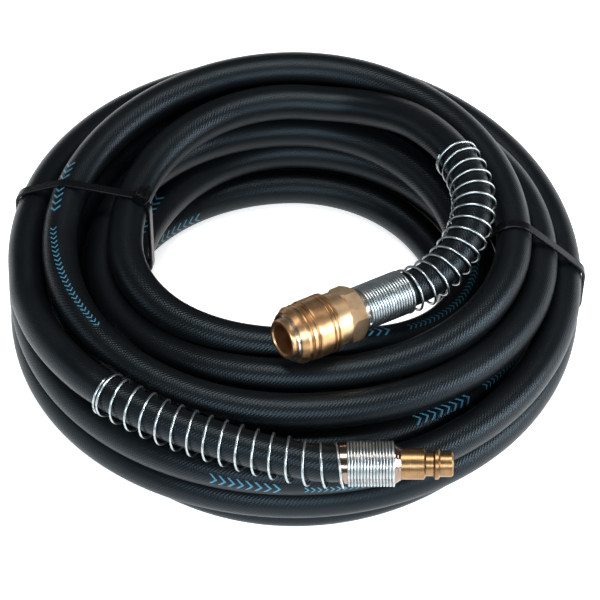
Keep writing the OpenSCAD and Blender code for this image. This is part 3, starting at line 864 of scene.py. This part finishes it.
def tie_mesh(name, settings):
    """One moulding: the strap round the pile, the locking head and the trimmed tail."""
    angle, head_turn, head_side = TIES[name]
    width, thickness = settings.width / MM, settings.thickness / MM
    head_w, head_l = settings.head_width / MM, settings.head_length / MM
    head_h, tail = settings.head_height / MM, settings.tail / MM
    to_world = tie_frame(angle)
    bm = bmesh.new()
    reach = STRAP_INSIDE_R + thickness / 2
    add_strap(bm, strap_outline(angle, reach), width, thickness, to_world)

    quarter = ((270 - angle) % 360) / 90
    r, z = strand(4 * head_turn + quarter)
    seat_matrix = (
        to_world @ Matrix.Translation((r, 0, z))
        @ Matrix.Rotation(math.radians(-head_side), 4, "Y") @ Matrix.Translation((reach, 0, 0))
        @ Matrix.Rotation(math.radians(90), 4, "Y") @ Matrix.Rotation(math.pi / 2, 4, "Z")
    )
    head = eased_rectangle(head_w, head_l, 0.7)
    head_layers = (
        (-0.3, 0.97), (0.1, 1.0), (head_h - 0.7, 1.0), (head_h - 0.25, 0.97), (head_h, 0.9),
    )
    add_block(bm, head, head_layers, seat_matrix)
    rim = eased_rectangle(width + 0.9, thickness + 1.9, 0.3)
    rim_layers = ((head_h - 0.2, 1.0), (head_h + 0.25, 1.0), (head_h + 0.35, 0.9))
    add_block(bm, rim, rim_layers, seat_matrix)
    strip = eased_rectangle(width, thickness, 0.25)
    teeth = []
    height = head_h
    while height < head_h + tail:
        teeth += [(height, 1.0), (height + 0.55, 1.0), (height + 0.6, 0.86), (height + 0.8, 0.86)]
        height += TOOTH_PITCH
    add_block(bm, strip, [(min(h, head_h + tail), grow) for h, grow in teeth], seat_matrix)
    mesh = bpy.data.meshes.new(name)
    bmesh.ops.recalc_face_normals(bm, faces=bm.faces)
    bm.to_mesh(mesh)
    bm.free()
    mesh.shade_smooth()
    mesh.set_sharp_from_angle(angle=math.radians(35))
    return mesh


class AIRHOSE_OT_cable_ties(bpy.types.Operator):
    """Straps both cable ties round the pile"""

    bl_idname = "air_hose.cable_ties"
    bl_label = "Cable ties"

    def execute(self, context):
        settings = context.scene.air_hose_ties
        nylon = smooth_nylon("moulded nylon", settings.nylon, 0.27, 0.24)
        for name in TIES:
            piece = add_piece(f"{name}_strap", tie_mesh(name, settings), nylon)
            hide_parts(name)
        return {"FINISHED"}


# ---- Fittings ------------------------------------------------------------------------------
class AIRHOSE_OT_fittings(bpy.types.Operator):
    """Gives the coupling, the plug nipple and the ferrules their metals"""

    bl_idname = "air_hose.fittings"
    bl_label = "Fittings"

    def execute(self, context):
        settings = context.scene.air_hose_fittings
        coupler, plug = (COUPLER_AT, COUPLER_AXIS), (PLUG_AT, PLUG_AXIS)
        brass = turned_metal("turned brass", settings.brass, coupler, 0.3, 0.62, 0.5)
        hexagon = turned_metal("hexagon brass", settings.hexagon, coupler, 0.34, 0.8, 0.4)
        # The sleeve's brass carries painted shade in each groove
        sleeve = turned_metal("sleeve brass", settings.brass, coupler, 0.3, 0.62, 0.5, SLEEVE_SHADED_GROOVES)
        nipple = turned_metal("nipple brass", settings.nipple, plug, 0.3, 0.55, 0.8)
        steel = turned_metal("ferrule steel", settings.steel, coupler, 0.2)
        copper = turned_metal("plated ferrule", settings.copper, plug, 0.15)
        polished = turned_metal("ball steel", (0.8, 0.8, 0.82), coupler, 0.14, 0.95, 0.05)
        seal = smooth_nylon("seal rubber", (0.016, 0.016, 0.017), 0.5, 0.4)
        for material, names in (
            (brass, ("coupler_nose", "coupler_hose_tail", "valve_poppet")),
            (hexagon, ("coupler_body",)),
            (sleeve, ("coupler_sleeve",)),
            (nipple, ("plug_nipple",)),
            (steel, ("coupler_ferrule", "sleeve_retaining_ring")),
            (copper, ("plug_ferrule",)),
            (polished, [f"locking_ball_{n}" for n in range(1, 7)]),
            (seal, ("socket_seal", "valve_seal")),
        ):
            for name in names:
                finish_node(name, material)
        return {"FINISHED"}


# ---- The stage -----------------------------------------------------------------------------
def aim(obj, target):
    """Turns a light towards a point."""
    obj.rotation_euler = (Vector(target) - obj.location).to_track_quat("-Z", "Y").to_euler()


def soft_light(name, location, target, size, power, colour):
    light = bpy.data.lights.new(name, "AREA")
    light.shape = "RECTANGLE"
    light.size, light.size_y = size
    light.energy = power
    light.color = colour
    obj = bpy.data.objects.new(name, light)
    obj.location = location
    bpy.context.scene.collection.objects.link(obj)
    aim(obj, target)


class AIRHOSE_OT_stage(bpy.types.Operator):
    """Sets the table, the soft lights and the camera"""

    bl_idname = "air_hose.stage"
    bl_label = "Stage"

    def execute(self, context):
        scene = context.scene
        settings = scene.air_hose_stage

        mesh = bpy.data.meshes.new("table")
        half, z = 4.0, -0.0002
        corners = [(-half, -half, z), (half, -half, z), (half, half, z), (-half, half, z)]
        mesh.from_pydata(corners, [], [(0, 1, 2, 3)])
        f = Finish("pale table").set(Roughness=0.6)
        f.shader.inputs["Base Color"].default_value = (*settings.floor, 1)
        f.shader.inputs["Emission Color"].default_value = (0.98, 0.99, 1.0, 1)
        f.shader.inputs["Emission Strength"].default_value = settings.glow
        mesh.materials.append(f.material)
        table = bpy.data.objects.new("table", mesh)
        scene.collection.objects.link(table)

        world = bpy.data.worlds.new("studio")
        world.use_nodes = True
        studio = world.node_tree
        background = next(n for n in studio.nodes if n.type == "BACKGROUND")
        direction = studio.nodes.new("ShaderNodeTexCoord").outputs["Generated"]
        split = studio.nodes.new("ShaderNodeSeparateXYZ")
        studio.links.new(direction, split.inputs[0])
        band = studio.nodes.new("ShaderNodeValToRGB")
        studio.links.new(split.outputs["Z"], band.inputs["Fac"])
        low, high = band.color_ramp.elements
        low.position, high.position = 0.25, 0.75
        low.color = tuple(c * settings.walls for c in (0.92, 0.98, 1.05)) + (1,)
        high.color = tuple(c * settings.overhead for c in (1.0, 0.98, 0.95)) + (1,)
        studio.links.new(band.outputs["Color"], background.inputs["Color"])
        background.inputs["Strength"].default_value = 1.0
        scene.world = world
        scene.view_settings.view_transform = "Standard"
        scene.view_settings.gamma = 0.9

        cool, warm = (0.78, 0.91, 1.0), (1.0, 0.98, 0.95)
        for name, place, size, power, colour in (
            ("front_light", (-0.1, -1.7, 1.1), (2.2, 0.36), settings.key, cool),
            ("right_light", (1.8, -0.5, 0.6), (1.2, 0.5), settings.fill, (0.9, 0.95, 1.0)),
            ("left_light", (-1.8, -0.2, 0.5), (1.2, 0.5), settings.fill * 0.12, cool),
            ("top_light", (0, 0.1, 1.9), (1.2, 0.55), settings.top, warm),
        ):
            soft_light(name, place, (0, 0, 0.04), size, power, colour)

        camera = bpy.data.objects.new("camera", bpy.data.cameras.new("camera"))
        elevation = math.radians(CAMERA_ELEVATION)
        back = CAMERA_DISTANCE * math.cos(elevation)
        up = CAMERA_AIM_Z + CAMERA_DISTANCE * math.sin(elevation)
        camera.location = COIL_CENTRE + Vector((0, -back, up))
        camera.rotation_euler = (math.pi / 2 - elevation, 0, 0)
        camera.data.sensor_width = SENSOR
        camera.data.lens = FOCAL_PX / PICTURE_PX * SENSOR
        camera.data.shift_x = 0.0095
        camera.data.shift_y = -0.0275
        camera.data.clip_start = 0.05
        scene.collection.objects.link(camera)
        scene.camera = camera
        return {"FINISHED"}


# ---- The panel -----------------------------------------------------------------------------
class AIRHOSE_PT_panel(bpy.types.Panel):
    """Lists the steps and their settings"""

    bl_idname = "AIRHOSE_PT_panel"
    bl_label = "Coiled Air Hose"
    bl_space_type = "VIEW_3D"
    bl_region_type = "UI"
    bl_category = "Air Hose"

    def draw(self, context):
        for operator, group in STEPS:
            box = self.layout.box()
            box.operator(operator.bl_idname)
            settings = getattr(context.scene, group)
            for name in settings.__annotations__:
                box.prop(settings, name)


STEPS = (
    (AIRHOSE_OT_stage, "air_hose_stage"),
    (AIRHOSE_OT_hose, "air_hose"),
    (AIRHOSE_OT_bend_guards, "air_hose_guards"),
    (AIRHOSE_OT_springs, "air_hose_guards"),
    (AIRHOSE_OT_cable_ties, "air_hose_ties"),
    (AIRHOSE_OT_fittings, "air_hose_fittings"),
)
GROUPS = {
    "air_hose_stage": StageSettings,
    "air_hose": HoseSettings,
    "air_hose_guards": GuardSettings,
    "air_hose_ties": TieSettings,
    "air_hose_fittings": FittingSettings,
}


def register():
    for name, group in GROUPS.items():
        bpy.utils.register_class(group)
        setattr(bpy.types.Scene, name, PointerProperty(type=group))
    for operator, _ in STEPS:
        bpy.utils.register_class(operator)
    bpy.utils.register_class(AIRHOSE_PT_panel)


def unregister():
    bpy.utils.unregister_class(AIRHOSE_PT_panel)
    for operator, _ in reversed(STEPS):
        bpy.utils.unregister_class(operator)
    for name, group in reversed(GROUPS.items()):
        delattr(bpy.types.Scene, name)
        bpy.utils.unregister_class(group)


def main():
    """Builds everything in order."""
    register()
    for operator, _ in STEPS:
        space, name = operator.bl_idname.split(".")
        getattr(getattr(bpy.ops, space), name)()


if __name__ == "__main__":
    main()
